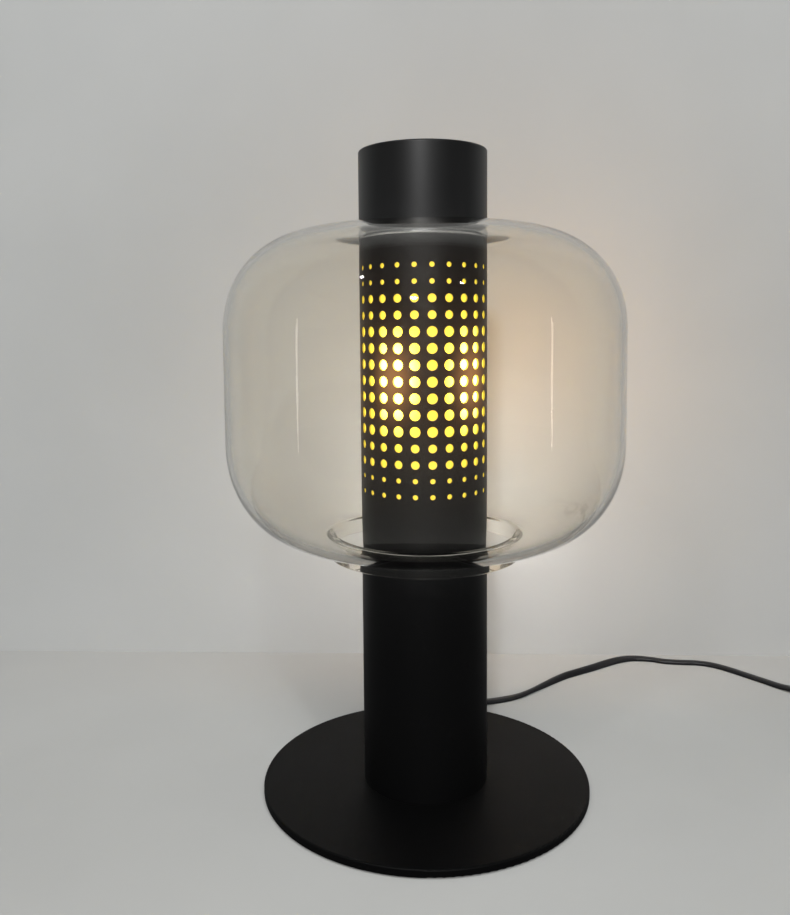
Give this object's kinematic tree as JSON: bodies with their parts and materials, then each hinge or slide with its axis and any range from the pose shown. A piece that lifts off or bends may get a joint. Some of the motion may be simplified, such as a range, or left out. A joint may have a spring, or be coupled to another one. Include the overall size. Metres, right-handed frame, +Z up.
{
  "type": "lantern table lamp",
  "caption": "Table lamp with a black perforated tube on a round base, lit from inside, a clear glass jar hung around the screen, a lift-off cap and a mains lead with an in-line rocker switch.",
  "frame": {"origin": "on the table, on the axis of the column", "axes": "+Z up along the column, -Y towards the viewer, the cord leaves at +Y"},
  "size_m": [0.5091, 0.3414, 0.4057],
  "materials": {
    "black_coat": "satin black powder coat",
    "foam_pad": "matte foam",
    "zinc_steel": "zinc plated",
    "lit_diffuser": "frosted, lit",
    "silicone": "translucent matte",
    "white_plastic": "satin",
    "ceramic": "glazed",
    "brass": "plain",
    "cord_black": "smooth PVC",
    "switch_black": "fine texture",
    "cord_tie": "woven hook and loop",
    "nickel": "nickel plated",
    "clear_glass": "clear, faint warm tint",
    "bulb_glow": "frosted, lit"
  },
  "bodies": {
    "stand": {"base_pad": "foam_pad", "base_plate": "black_coat", "base_screws": "zinc_steel", "column_foot": "zinc_steel", "column_tube": "black_coat", "coupling_ring": "zinc_steel", "screen_tube": "black_coat", "diffuser_sleeve": "lit_diffuser", "top_ring": "black_coat", "seat_gasket": "silicone", "holder_nipple": "zinc_steel", "holder_nuts": "zinc_steel", "holder_dome": "white_plastic", "holder_body": "white_plastic", "holder_insert": "ceramic", "holder_shell": "brass", "holder_contact": "brass", "inner_lead": "cord_black", "cord_gland": "cord_black", "lead_cord": "cord_black", "switch_base": "switch_black", "switch_cover": "switch_black", "switch_screws": "zinc_steel", "switch_terminals": "brass", "switch_lead": "cord_black", "cord_coil": "cord_black", "cord_tie": "cord_tie", "plug_lead": "cord_black", "plug_body": "cord_black", "plug_pins": "nickel"},
    "glass": {"glass_shade": "clear_glass"},
    "cap": {"cap_gasket": "silicone", "cap_shell": "black_coat", "cap_collar": "zinc_steel"},
    "bulb": {"bulb_globe": "bulb_glow", "bulb_collar": "white_plastic", "bulb_cap": "nickel", "bulb_contact": "brass"},
    "rocker": {"switch_rocker": "switch_black"}
  },
  "joints": [
    {"name": "glass_lift", "type": "slide", "parent": "stand", "child": "glass", "axis": [0, 0, 1], "range_m": [0, 0.215]},
    {"name": "cap_lift", "type": "slide", "parent": "glass", "child": "cap", "axis": [0, 0, 1], "range_m": [0, 0.06]},
    {"name": "bulb_unscrew", "type": "slide", "parent": "stand", "child": "bulb", "axis": [0, 0, 1], "range_m": [0, 0.03]},
    {"name": "rocker_tilt", "type": "hinge", "parent": "stand", "child": "rocker", "pos_m": [0.33, 0.105, 0.013], "axis": [0.7771, 0.6293, 0], "range_deg": [0, 16]}
  ]
}
